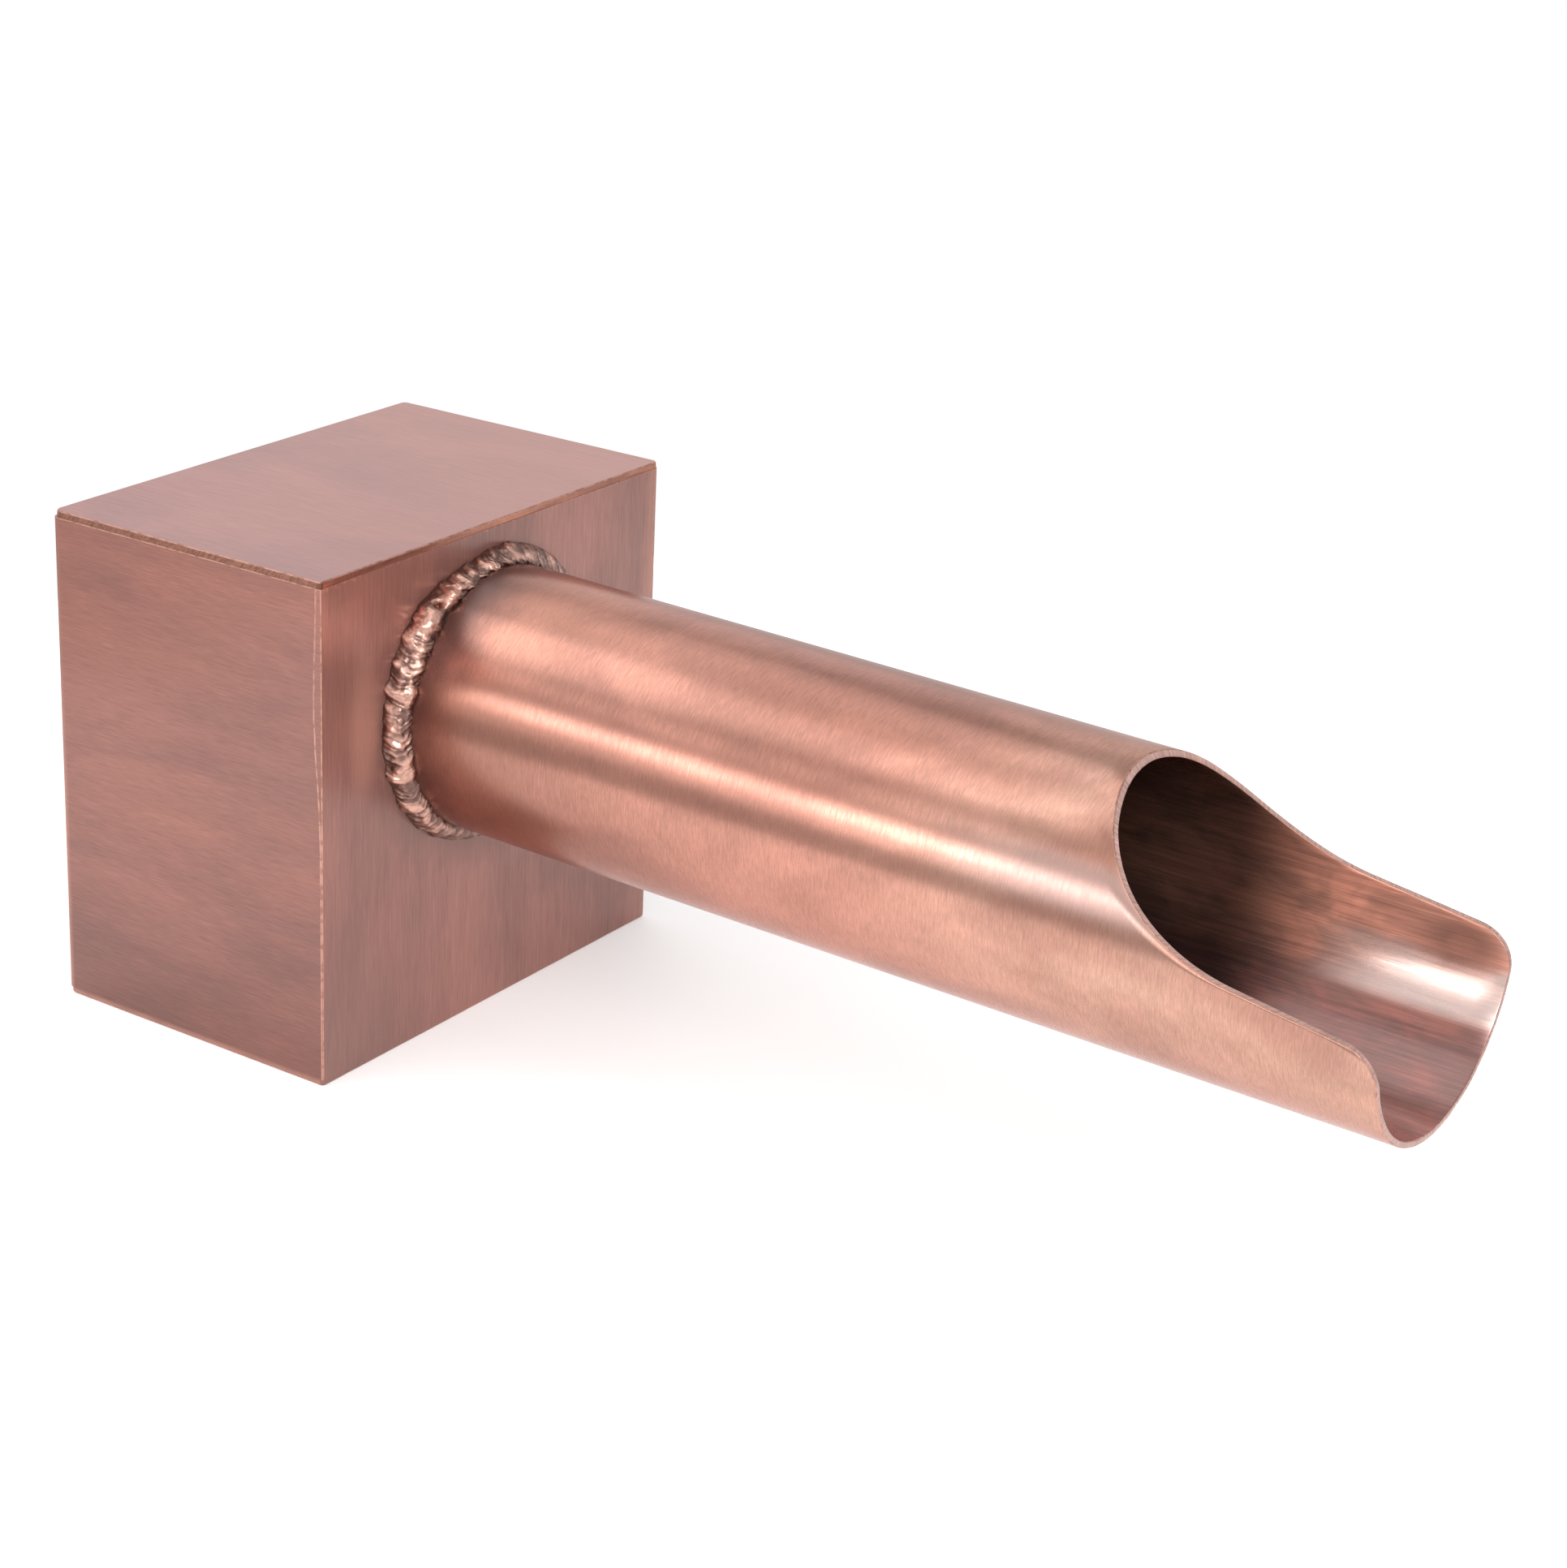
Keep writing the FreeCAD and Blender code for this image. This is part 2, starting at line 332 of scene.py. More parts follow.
def brushed_finish(tree, shader, at, layers, tone, dark, roughness, along_spread, contrast=STROKE_CONTRAST):
    """Colour, gloss and relief of a brushed surface.

    The layers give feature sizes along the three axes for patina, bands, strokes and fine lines.
    """
    patina = remap(tree, grain(tree, at, layers["patina"], 4.0, 0.55, 0.6), 0.38, 0.66)
    bands = grain(tree, at, layers["bands"], 3.0, 0.5, 0.2, 3.7)
    strokes = grain(tree, at, layers["strokes"], 1.0, 0.5, 0.0, 9.1)
    lines = grain(tree, at, layers["lines"], 2.0, 0.6)
    tone = mix_colour(tree, calc(tree, "MULTIPLY", patina, 0.75), tone, dark)
    tone = shaded(tree, tone, bands, 0.30)
    tone = shaded(tree, tone, strokes, contrast)
    tone = shaded(tree, tone, lines, contrast)
    relief = total(tree, product(tree, strokes, 0.6), product(tree, lines, 0.4))
    dull = total(tree, product(tree, patina, 0.05), product(tree, relief, -0.16))
    feed(tree, shader.inputs["Roughness"], calc(tree, "ADD", dull, roughness + 0.07))
    feed(tree, shader.inputs["Normal"], bump(tree, relief, BRUSH_DEPTH))
    feed(tree, shader.inputs["Tangent"], joined(tree, *along_spread))
    shader.inputs["Anisotropic"].default_value = 0.7
    shader.inputs["Specular Tint"].default_value = GRAZING_TINT
    shader.inputs["Coat Weight"].default_value = 0.65
    shader.inputs["Coat Roughness"].default_value = 0.22
    shader.inputs["Coat IOR"].default_value = COAT_IOR
    return tone


def near_edge(tree, value, edge, width):
    """1 at an edge, falling to 0 within a width."""
    away = calc(tree, "ABSOLUTE", calc(tree, "SUBTRACT", value, edge))
    return remap(tree, away, width * 0.4, width, 1.0, 0.0)


def side_copper():
    """Side plates, brushed from front to back."""
    material, shader = start_material("side_copper")
    tree = material.node_tree
    at = place(tree)
    layers = {"patina": (40, 95, 38), "bands": (20, 120, 9), "strokes": (20, 9, 0.42), "lines": (20, 4, 0.20)}
    tone = brushed_finish(tree, shader, at, layers, SIDE_TONE, SIDE_PATINA, 0.36, (0, 0, 1))
    _, y, z = axes(tree, at)
    # Painted shade and light: the side darkens towards the bottom and lightens towards the top, standing in for the
    # darker floor it reflects near the box.
    tone = vector_calc(tree, "SCALE", tone, scale=remap(tree, z, 0.0, BOX_TOP, 0.68, 1.26, smooth=False))
    waver = grain(tree, at, (9, 9, 16), 2.0)
    rear = near_edge(tree, y, HALF_DEPTH, 3.2 * MM)
    foot = near_edge(tree, z, 0.0, 2.5 * MM)
    worn = calc(tree, "MULTIPLY", calc(tree, "MAXIMUM", rear, foot), remap(tree, waver, 0.3, 0.7, 0.5, 0.8))
    tone = mix_colour(tree, worn, tone, SIDE_WORN)
    feed(tree, shader.inputs["Base Color"], tone)
    return material


def front_copper():
    """Front and back plates, brushed upright, heat-darkened round the weld with painted shade below the spout,
    lightened by a painted light patch beside the weld, and worn at the right edge with painted highlight.
    """
    material, shader = start_material("front_copper")
    tree = material.node_tree
    at = place(tree)
    layers = {"patina": (38, 40, 90), "bands": (7, 20, 110), "strokes": (0.42, 20, 10), "lines": (0.20, 20, 5)}
    tone = brushed_finish(tree, shader, at, layers, FRONT_TONE, FRONT_PATINA, 0.46, (1, 0, 0))
    shader.inputs["Metallic"].default_value = 0.6
    x, y, z = axes(tree, at)
    waver = grain(tree, at, (9, 9, 9), 3.0)
    fine_waver = grain(tree, at, (1.6, 5, 1.6), 3.0)

    in_front = remap(tree, y, -0.01, -0.03)
    from_spout = vector_calc(tree, "SUBTRACT", at, tuple(SPOUT_SEAT))
    _, _, height = axes(tree, from_spout)
    reach = vector_calc(tree, "LENGTH", vector_calc(tree, "MULTIPLY", from_spout, (1, 0, 1)))
    reach = calc(tree, "ADD", reach, product(tree, calc(tree, "SUBTRACT", waver, 0.5), 10 * MM))
    # Heat soot round the spout's weld, made heavier and wider below the spout as painted shade under it.
    low = remap(tree, height, 0.03, -0.045, 0.4, 1.0)
    spread = calc(tree, "MULTIPLY_ADD", low, 13 * MM, 46 * MM)
    soot_and_shade_halo = remap(tree, reach, 43 * MM, spread, 1.0, 0.0)
    tone = mix_colour(tree, product(tree, soot_and_shade_halo, low, in_front, 0.62), tone, FRONT_SOOT_AND_SHADE)

    # An orange patch on the plate beside the weld, lightened as painted light against the shade of the tube and weld.
    painted_light_at = vector_calc(tree, "SUBTRACT", at, PAINTED_LIGHT_PATCH_AT)
    painted_light_reach = vector_calc(tree, "LENGTH", vector_calc(tree, "MULTIPLY", painted_light_at, (3.4, 0, 1)))
    glow = remap(tree, painted_light_reach, 6 * MM, 30 * MM, 1.0, 0.0)
    tone = mix_colour(tree, product(tree, glow, in_front, 0.7), tone, FRONT_PATCH_AND_PAINTED_LIGHT)

    from_foot = vector_calc(tree, "DISTANCE", at, (-HALF_WIDTH + 8 * MM, -HALF_DEPTH, 4 * MM))
    foot = calc(tree, "MULTIPLY", remap(tree, from_foot, 12 * MM, 60 * MM, 0.55, 0.0), in_front)
    tone = mix_colour(tree, foot, tone, FRONT_FOOT)

    from_top = calc(tree, "SUBTRACT", BOX_TOP - THICKNESS, z)
    near_corner = remap(tree, x, -HALF_WIDTH + 3 * MM, -HALF_WIDTH + 22 * MM, 2.2, 0.7)
    smear = product(tree, remap(tree, fine_waver, 0.42, 0.72), near_corner, 1.2 * MM)
    band = remap(tree, from_top, calc(tree, "SUBTRACT", smear, 0.5 * MM), smear, 1.0, 0.0)
    tone = mix_colour(tree, product(tree, band, 0.8), tone, EDGE_TONE)

    # Worn right edge, partly wear and partly painted highlight of the rounded edge.
    wavering = calc(tree, "ADD", x, product(tree, calc(tree, "SUBTRACT", waver, 0.5), 8 * MM))
    strip = near_edge(tree, wavering, HALF_WIDTH, 9 * MM)
    tone = mix_colour(tree, product(tree, strip, 0.4), tone, FRONT_WORN_HIGHLIGHT_STRIP)
    right = near_edge(tree, x, HALF_WIDTH, 3.4 * MM)
    worn_highlight_mottle = remap(tree, grain(tree, at, (1.8, 1.8, 3.0), 3.0, 0.7), 0.40, 0.62, 0.1, 0.9)
    tone = mix_colour(tree, product(tree, right, worn_highlight_mottle), tone, FRONT_WORN_HIGHLIGHT_MOTTLE)
    feed(tree, shader.inputs["Base Color"], tone)
    return material


def top_copper():
    """Top and bottom plates, brushed from front to back, greyer and lighter than the sides, partly as patina and
    partly as painted sheen.
    """
    material, shader = start_material("top_copper")
    tree = material.node_tree
    at = place(tree)
    layers = {"patina": (55, 80, 40), "bands": (16, 110, 20), "strokes": (0.6, 11, 20), "lines": (0.26, 5, 20)}
    tone = brushed_finish(tree, shader, at, layers, TOP_TONE, TOP_PATINA, 0.36, (1, 0, 0), 0.28)
    x, y, _ = axes(tree, at)
    warm = remap(tree, calc(tree, "SUBTRACT", y, x), 0.10, -0.08, 0.0, 0.5)
    tone = mix_colour(tree, warm, tone, TOP_WARM)
    feed(tree, shader.inputs["Base Color"], tone)
    return material


def edge_copper():
    """The ground edge of the top plate: slanted grinding marks on the sides, worn bright in front."""
    material, shader = start_material("edge_copper")
    tree = material.node_tree
    at = place(tree)
    x, y, z = axes(tree, at)
    slanted = joined(tree, x, calc(tree, "ADD", y, z), calc(tree, "SUBTRACT", z, y))
    marks = grain(tree, slanted, (30, 0.5, 3), 2.0, 0.6)
    on_side = remap(tree, y, -HALF_DEPTH + 0.6 * MM, -HALF_DEPTH + 2.0 * MM)
    wear = grain(tree, at, (14, 14, 3), 3.0)
    ground = mix_colour(tree, remap(tree, marks, 0.38, 0.60), *EDGE_GROUND)
    bright = mix_colour(tree, remap(tree, wear, 0.38, 0.62), *EDGE_RUBBED)
    bright = shaded(tree, bright, grain(tree, at, (0.6, 5, 3), 2.0), 0.5)
    tone = mix_colour(tree, on_side, bright, ground)
    from_corner = vector_calc(tree, "DISTANCE", at, (-HALF_WIDTH, -HALF_DEPTH, BOX_TOP - 1.2 * MM))
    chipped = remap(tree, from_corner, 0.8 * MM, 2.2 * MM, 0.75, 0.0)
    feed(tree, shader.inputs["Base Color"], mix_colour(tree, chipped, tone, CHIP_TONE))
    feed(tree, shader.inputs["Normal"], bump(tree, marks, GRIND_DEPTH))
    shader.inputs["Roughness"].default_value = 0.36
    return material


def ridge_copper():
    """Sharp edges rubbed bright and lightened as painted highlight, broken here and there."""
    material, shader = start_material("ridge_copper")
    tree = material.node_tree
    broken = grain(tree, place(tree), (3, 3, 3), 3.0, 0.7)
    tone = mix_colour(tree, remap(tree, broken, 0.36, 0.56), RIDGE_DULL, RIDGE_RUBBED_HIGHLIGHT_TONE)
    feed(tree, shader.inputs["Base Color"], tone)
    shader.inputs["Roughness"].default_value = 0.42
    return material


def spout_copper():
    """Drawn tube, brushed round its girth, darkened by heat next to the weld, paler towards the tip as painted sheen,
    with a painted highlight band near the tip.
    """
    material, shader = start_material("spout_copper")
    tree = material.node_tree
    at = spout_place(tree)
    layers = {"patina": (45, 90, 45), "bands": (30, 60, 30), "strokes": (3.8, 0.42, 3.8), "lines": (2.0, 0.2, 2.0)}
    across, ahead, up = axes(tree, at)
    # Paler towards the tip: painted sheen of the tip's whiter reflections.
    bare = mix_colour(tree, remap(tree, ahead, 0.13, 0.235), TUBE_TONE, TIP_PAINTED_SHEEN_TONE)
    tone = brushed_finish(tree, shader, at, layers, bare, TUBE_PATINA, 0.27, SPOUT_AHEAD, 0.48)
    tone = shaded(tree, tone, grain(tree, at, (13, 26, 13), 4.0, 0.55, 0.5, 6.2), 0.5)
    # Painted highlight: a paler band near the tip, at the turn where the low strip light shows.
    painted_highlight = facing_strip(tree, across, up, OUTSIDE_HIGHLIGHT_TURN, SPOUT_RADIUS, 13, 4)
    painted_highlight = product(tree, painted_highlight, remap(tree, ahead, 0.165, 0.212), 0.36)
    tone = mix_colour(tree, painted_highlight, tone, TUBE_PAINTED_HIGHLIGHT)
    waver = product(tree, calc(tree, "SUBTRACT", grain(tree, at, (12, 12, 12), 3.0), 0.5), 16 * MM)
    high = remap(tree, up, 5 * MM, 25 * MM)
    away = calc(tree, "ADD", ahead, waver)
    orange = product(tree, remap(tree, away, 14 * MM, 26 * MM), remap(tree, away, 30 * MM, 60 * MM, 0.22, 0.0))
    tone = mix_colour(tree, orange, tone, TUBE_ORANGE)
    begin = calc(tree, "MULTIPLY_ADD", high, 3 * MM, 6 * MM)
    end = calc(tree, "MULTIPLY_ADD", high, 7.5 * MM, 22 * MM)
    heat = remap(tree, away, begin, end, 1.0, 0.0)
    strength = calc(tree, "MULTIPLY_ADD", high, 0.36, 0.60)
    feed(tree, shader.inputs["Base Color"], mix_colour(tree, product(tree, heat, strength), tone, HEAT_TONE))
    return material


def inside_copper():
    """The tube's unbrushed inside, with fine streaks along its length: painted shade deep in the bore and on the
    lower wall, a painted lit upper wall and a painted highlight streak near the tip.
    """
    material, shader = start_material("inside_copper")
    tree = material.node_tree
    at = spout_place(tree)
    across, ahead, up = axes(tree, at)
    blotch = grain(tree, at, (12, 22, 12), 3.0, 0.6, 0.5)
    streak = grain(tree, at, (1.5, 45, 1.5), 3.0, 0.6)
    fine = grain(tree, at, (0.34, 20, 0.34), 2.0, 0.6, 0.0, 2.2)
    upper = mix_colour(tree, remap(tree, blotch, 0.40, 0.62), *INSIDE_UPPER_PAINTED_LIT)
    lower = mix_colour(tree, remap(tree, blotch, 0.36, 0.60), *INSIDE_LOWER_PAINTED_SHADE)
    # Painted light and shade: the upper inside wall lighter, the lower wall darker.
    tone = mix_colour(tree, remap(tree, up, -28 * MM, -8 * MM), lower, upper)
    tone = shaded(tree, tone, streak, 0.8)
    tone = shaded(tree, tone, fine, 1.1)
    # Painted highlight: a pale streak on the far inside wall near the tip, where the same mask also raises the
    # metallic finish.
    polish_and_painted_highlight = facing_strip(tree, across, up, INSIDE_HIGHLIGHT_TURN, BORE_RADIUS, 14, 7)
    polish_and_painted_highlight = product(tree, polish_and_painted_highlight, remap(tree, ahead, 0.250, 0.278))
    tone = mix_colour(tree, calc(tree, "MULTIPLY", polish_and_painted_highlight, 0.65), tone, INSIDE_PAINTED_HIGHLIGHT)
    stain_at = spout_point(BORE_RADIUS * math.sin(STAIN_TURN), STAIN_AHEAD, BORE_RADIUS * math.cos(STAIN_TURN))
    from_stain = vector_calc(tree, "SUBTRACT", place(tree), tuple(stain_at))
    from_stain = vector_calc(tree, "MULTIPLY", from_stain, (1, 0.6, 1.3))
    uneven = product(tree, calc(tree, "SUBTRACT", blotch, 0.5), 12 * MM)
    stain_reach = calc(tree, "ADD", vector_calc(tree, "LENGTH", from_stain), uneven)
    stain = remap(tree, stain_reach, 3 * MM, 12 * MM, 0.75, 0.0)
    tone = mix_colour(tree, stain, tone, STAIN_TONE)
    # Painted shade: the bore darkens deep inside, back from the tip, and lightens again towards the back end; the
    # same mask thins the coat.
    painted_depth_shade = remap(tree, ahead, 0.226, 0.262, 0.13, 1.0)
    painted_depth_shade_scale = calc(tree, "MAXIMUM", painted_depth_shade, remap(tree, ahead, 0.06, 0.16, 0.9, 0.0))
    feed(tree, shader.inputs["Base Color"], vector_calc(tree, "SCALE", tone, scale=painted_depth_shade_scale))
    feed(tree, shader.inputs["Normal"], bump(tree, fine, STREAK_DEPTH))
    feed(tree, shader.inputs["Roughness"], remap(tree, streak, 0.3, 0.7, 0.20, 0.30))
    bare = remap(tree, ahead, 0.13, 0.18, 1.0, 0.3)
    feed(tree, shader.inputs["Metallic"], calc(tree, "MAXIMUM", bare, calc(tree, "MULTIPLY_ADD", polish_and_painted_highlight, 0.6, 0.3)))
    shader.inputs["Specular Tint"].default_value = INSIDE_TINT
    feed(tree, shader.inputs["Coat Weight"], painted_depth_shade)
    shader.inputs["Coat Roughness"].default_value = 0.22
    shader.inputs["Coat IOR"].default_value = 1.5
    return material


def rim_copper():
    """The sawn and filed rim of the scoop, with cross-cut marks."""
    material, shader = start_material("rim_copper")
    tree = material.node_tree
    run = tree.nodes.new("ShaderNodeAttribute")
    run.attribute_name = "rim_run"
    along = joined(tree, run.outputs["Fac"], 0.0, 0.0)
    marks = grain(tree, along, (0.8, 1, 1), 4.0, 0.75)
    wear = grain(tree, along, (6, 1, 1), 2.0, 0.6, 0.0, 4.4)
    tone = mix_colour(tree, remap(tree, marks, 0.36, 0.62), *RIM_TONES)
    tone = shaded(tree, tone, wear, 0.7)
    feed(tree, shader.inputs["Base Color"], tone)
    feed(tree, shader.inputs["Normal"], bump(tree, marks, FILE_DEPTH))
    shader.inputs["Roughness"].default_value = 0.42
    shader.inputs["Metallic"].default_value = 0.55
    return material


def weld_copper():
    """Glossy weld metal, brownish in its creases and golden pink on its crests."""
    material, shader = start_material("weld_copper")
    tree = material.node_tree
    at = spout_place(tree)
    crest = tree.nodes.new("ShaderNodeAttribute")
    crest.attribute_name = "crest"
    blotch = grain(tree, at, (4, 4, 4), 3.0, 0.6)
    pitted = grain(tree, at, (0.7, 0.7, 0.7), 2.0, 0.6)
    height = total(tree, crest.outputs["Fac"], product(tree, calc(tree, "SUBTRACT", blotch, 0.5), 0.8))
    tone = mix_colour(tree, remap(tree, height, 0.0, 0.75), *WELD_TONES)
    feed(tree, shader.inputs["Base Color"], shaded(tree, tone, pitted, 0.35))
    feed(tree, shader.inputs["Normal"], bump(tree, pitted, PIT_DEPTH))
    feed(tree, shader.inputs["Roughness"], remap(tree, blotch, 0.35, 0.65, 0.28, 0.42))
    shader.inputs["Coat Weight"].default_value = 0.45
    shader.inputs["Coat Roughness"].default_value = 0.14
    return material


# The spout

def scoop_profile():
    """Where the scoop cut lies along the spout, as a function of height over the axis."""
    steep = math.tan(SCOOP_STEEP)
    shallow = math.tan(SCOOP_SHALLOW)
    crown_at = SPOUT_REACH - SCOOP_LENGTH
    bend_run = (SPOUT_RADIUS + LIP_BELOW_AXIS - shallow * SCOOP_LENGTH) / (steep - shallow)
    bend_at = crown_at + bend_run
    bend_up = SPOUT_RADIUS - steep * bend_run

    turn = (SCOOP_STEEP - SCOOP_SHALLOW) / 2
    reach = SCOOP_BEND_RADIUS * math.tan(turn)
    bend_start = bend_up + reach * math.sin(SCOOP_STEEP)
    bend_end = bend_up - reach * math.sin(SCOOP_SHALLOW)
    bend_centre_at = bend_at + reach * math.cos(SCOOP_SHALLOW) + SCOOP_BEND_RADIUS * math.sin(SCOOP_SHALLOW)
    bend_centre_up = bend_end + SCOOP_BEND_RADIUS * math.cos(SCOOP_SHALLOW)

    lip_turn = (math.pi / 2 - SCOOP_SHALLOW) / 2
    lip_reach = LIP_CORNER_RADIUS * math.tan(lip_turn)
    lip_start = -LIP_BELOW_AXIS + lip_reach * math.sin(SCOOP_SHALLOW)
    lip_end = -LIP_BELOW_AXIS - lip_reach

    def along(up):
        if up >= bend_start:
            return crown_at + (SPOUT_RADIUS - up) / steep
        if up >= bend_end:
            return bend_centre_at - math.sqrt(SCOOP_BEND_RADIUS ** 2 - (bend_centre_up - up) ** 2)
        if up >= lip_start:
            return bend_at + (bend_up - up) / shallow
        if up >= lip_end:
            return SPOUT_REACH - LIP_CORNER_RADIUS + math.sqrt(LIP_CORNER_RADIUS ** 2 - (up - lip_end) ** 2)
        return SPOUT_REACH

    return along


SCOOP_ALONG = scoop_profile()


def cut_at(across, up):
    """Distance along the spout at which the rolled and skewed cut meets a line parallel to the axis."""
    ahead = SCOOP_ALONG(up)
    for _ in range(6):
        from_lip = ahead - SPOUT_REACH
        skewed_across = across * math.cos(SCOOP_SKEW) + from_lip * math.sin(SCOOP_SKEW)
        skewed_ahead = SPOUT_REACH + from_lip * math.cos(SCOOP_SKEW) - across * math.sin(SCOOP_SKEW)
        rolled_up = up * math.cos(SCOOP_ROLL) - skewed_across * math.sin(SCOOP_ROLL)
        ahead += SCOOP_ALONG(rolled_up) - skewed_ahead
    return ahead


RIM_STEP = 0.9 * MM
RIM_ROUND = 0.30 * MM
RIM_WAVE = 0.16 * MM
RIM_NICK = 0.07 * MM
TUBE_ROWS = 48
OUTSIDE, RIM, RIDGE, INSIDE = range(4)


def rim_point(radius, turn):
    """A point of the scoop's rim as (radius, ahead)."""
    across = radius * math.sin(turn)
    up = radius * math.cos(turn)
    where = Vector((across, up, 0))
    wave = noise.noise(where / (9 * MM)) * RIM_WAVE + noise.noise(where / (1.5 * MM)) * RIM_NICK
    return Vector((radius, cut_at(across, up) + wave))


def rim_turns():
    """Angles round the tube, close together where the rim runs along it, each with its run along the rim."""
    turns = [(0.0, 0.0)]
    turn = 0.0
    run = 0.0
    fine = math.radians(0.02)
    widest = math.radians(1.3)
    last = 0.0
    before = rim_point(SPOUT_RADIUS, 0.0)
    kept = before
    while turn < 2 * math.pi - widest / 2:
        turn += fine
        here = rim_point(SPOUT_RADIUS, turn)
        run += math.hypot(here.y - before.y, SPOUT_RADIUS * fine)
        before = here
        if abs(here.y - kept.y) > RIM_STEP or turn - last > widest:
            turns.append((turn, run))
            kept = here
            last = turn
    return turns


def tube_column(turn):
    """One column of the tube's wall: points as (radius, ahead) and the finish of the strip after each."""
    outer = rim_point(SPOUT_RADIUS, turn)
    inner = rim_point(BORE_RADIUS, turn)
    face = (inner - outer).normalized()
    back = Vector((0, -1))
    column = []
    start = -SPOUT_STUB
    for row in range(TUBE_ROWS):
        share = row / (TUBE_ROWS - 1)
        finish = RIDGE if row == TUBE_ROWS - 1 else OUTSIDE
        column.append((SPOUT_RADIUS, start + (outer.y - RIM_ROUND - start) * share, finish))
    for point, finish in (
        (outer + (face + back) * RIM_ROUND * 0.3, RIDGE),
        (outer + face * RIM_ROUND, RIM),
        (inner - face * RIM_ROUND, RIDGE),
        (inner + (back - face) * RIM_ROUND * 0.3, INSIDE),
    ):
        column.append((point.x, point.y, finish))
    for row in range(TUBE_ROWS):
        share = 1 - row / (TUBE_ROWS - 1)
        column.append((BORE_RADIUS, start + (inner.y - RIM_ROUND - start) * share, INSIDE))
    return column


def build_tube():
    """The tube's wall, its rounded rim cut to the scoop, as columns of points all round."""
    builder = bmesh.new()
    run_layer = builder.verts.layers.float.new("rim_run")
    columns = []
    for turn, run in rim_turns():
        points = tube_column(turn)
        verts = [builder.verts.new(spout_point(r * math.sin(turn), s, r * math.cos(turn))) for r, s, _ in points]
        for vert in verts:
            vert[run_layer] = run
        columns.append((verts, [finish for _, _, finish in points]))
    for (verts, finishes), (next_verts, _) in zip(columns, columns[1:] + columns[:1]):
        count = len(verts)
        for index in range(count):
            after = (index + 1) % count
            face = builder.faces.new((verts[index], verts[after], next_verts[after], next_verts[index]))
            face.smooth = True
            face.material_index = finishes[index]
    bmesh.ops.recalc_face_normals(builder, faces=builder.faces)
    materials = [spout_copper(), rim_copper(), RIDGE_COPPER, inside_copper()]
    piece = new_piece("spout_drawn_tube", builder, materials)
    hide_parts("spout_tube")


# The weld bead: legs as on the solid bead, with finer ripples

LEG_ON_PLATE = 4.9 * MM
NARROW_SPOT_LOSS = 2.9 * MM
NARROW_SPOT_TURN = math.radians(347)
WIDE_SPOT_GAIN = 2.2 * MM
WIDE_SPOT_TURN = math.radians(45)
SPOT_SPREAD = math.radians(20)
LEG_ON_TUBE = 6.4 * MM
LEG_ON_TUBE_SWELL = 1.1 * MM
TUBE_SWELL_TURN = math.radians(40)
BEAD_SLICES = 1800
BEAD_ROWS = 46
BEAD_SINK = 0.3 * MM
BEAD_RUN_RADIUS = SPOUT_RADIUS + 2.5 * MM
PUDDLE_PITCH = 5.6 * MM
PUDDLE_HEIGHT = 0.55 * MM
RIPPLE_PITCH = 1.9 * MM
RIPPLE_HEIGHT = 0.20 * MM
SCALE_SAG = 3.0 * MM
LUMP_HEIGHT = 0.65 * MM
KNOB_HEIGHT = 0.36 * MM
BEAD_SPAN = 9 * MM
TOE_LIFT = 0.4 * MM
PUDDLE_SEED = 11
RIPPLE_SEED = 5
GRAIN_HEIGHT = 0.10 * MM
TOE_WAVER = 0.7 * MM
# The overheated spot: turn in degrees, share of the way from plate to tube, height and radius
BLOBS = (
    (315.5, 0.45, 1.6 * MM, 3.6 * MM),
    (329.5, 0.58, 1.5 * MM, 2.8 * MM),
    (323.5, 0.50, -2.6 * MM, 1.2 * MM),
)


def turn_gap(turn, other):
    """The smaller angle from one turn to another."""
    return math.remainder(turn - other, 2 * math.pi)


def spot(turn, centre):
    """1 at a spot on the ring, falling smoothly to 0 on both sides of it."""
    return math.exp(-(turn_gap(turn, centre) / SPOT_SPREAD) ** 2)


def lay_scales(seed, pitch):
    """Start, length, size and lean of each scale along the ring."""
    draw = random.Random(seed)
    ring = 2 * math.pi * BEAD_RUN_RADIUS
    count = round(ring / pitch)
    lengths = [draw.uniform(0.6, 1.5) for _ in range(count)]
    scales = []
    start = 0.0
    for length in lengths:
        span = ring * length / sum(lengths)
        scales.append((start, span, draw.uniform(0.55, 1.3), draw.uniform(-0.5, 0.5)))
        start += span
    return scales


def scale_height(scales, run, across):
    """Height of the overlapping scales, 0 to about 1; each one's rounded tail lies on the one before."""
    ring = 2 * math.pi * BEAD_RUN_RADIUS
    run = (run - SCALE_SAG * (1 - math.sqrt(1 - 0.9 * across ** 2))) % ring
    low, high = 0, len(scales) - 1
    while low < high:
        middle = (low + high + 1) // 2
        if scales[middle][0] <= run:
            low = middle
        else:
            high = middle - 1
    start, span, size, lean = scales[low]
    inside = (run - start) / span
    rise = min(inside / 0.35, 1.0)
    rise = rise * rise * (3 - 2 * rise)
    fall = 0.5 + 0.5 * math.cos(math.pi * max(inside - 0.25, 0.0) / 0.75)
    return rise * fall * size * (1 + lean * across)


def calmness(turn):
    """How lively the ripples are: full on the side that shows, smoother below and at the far side."""
    below = math.exp(-(turn_gap(turn, math.radians(185)) / math.radians(28)) ** 2)
    far = math.exp(-(turn_gap(turn, math.radians(50)) / math.radians(45)) ** 2)
    molten = math.exp(-(turn_gap(turn, math.radians(322)) / math.radians(8)) ** 2)
    return (1 - 0.6 * below - 0.45 * far) * (1 - 0.8 * molten)


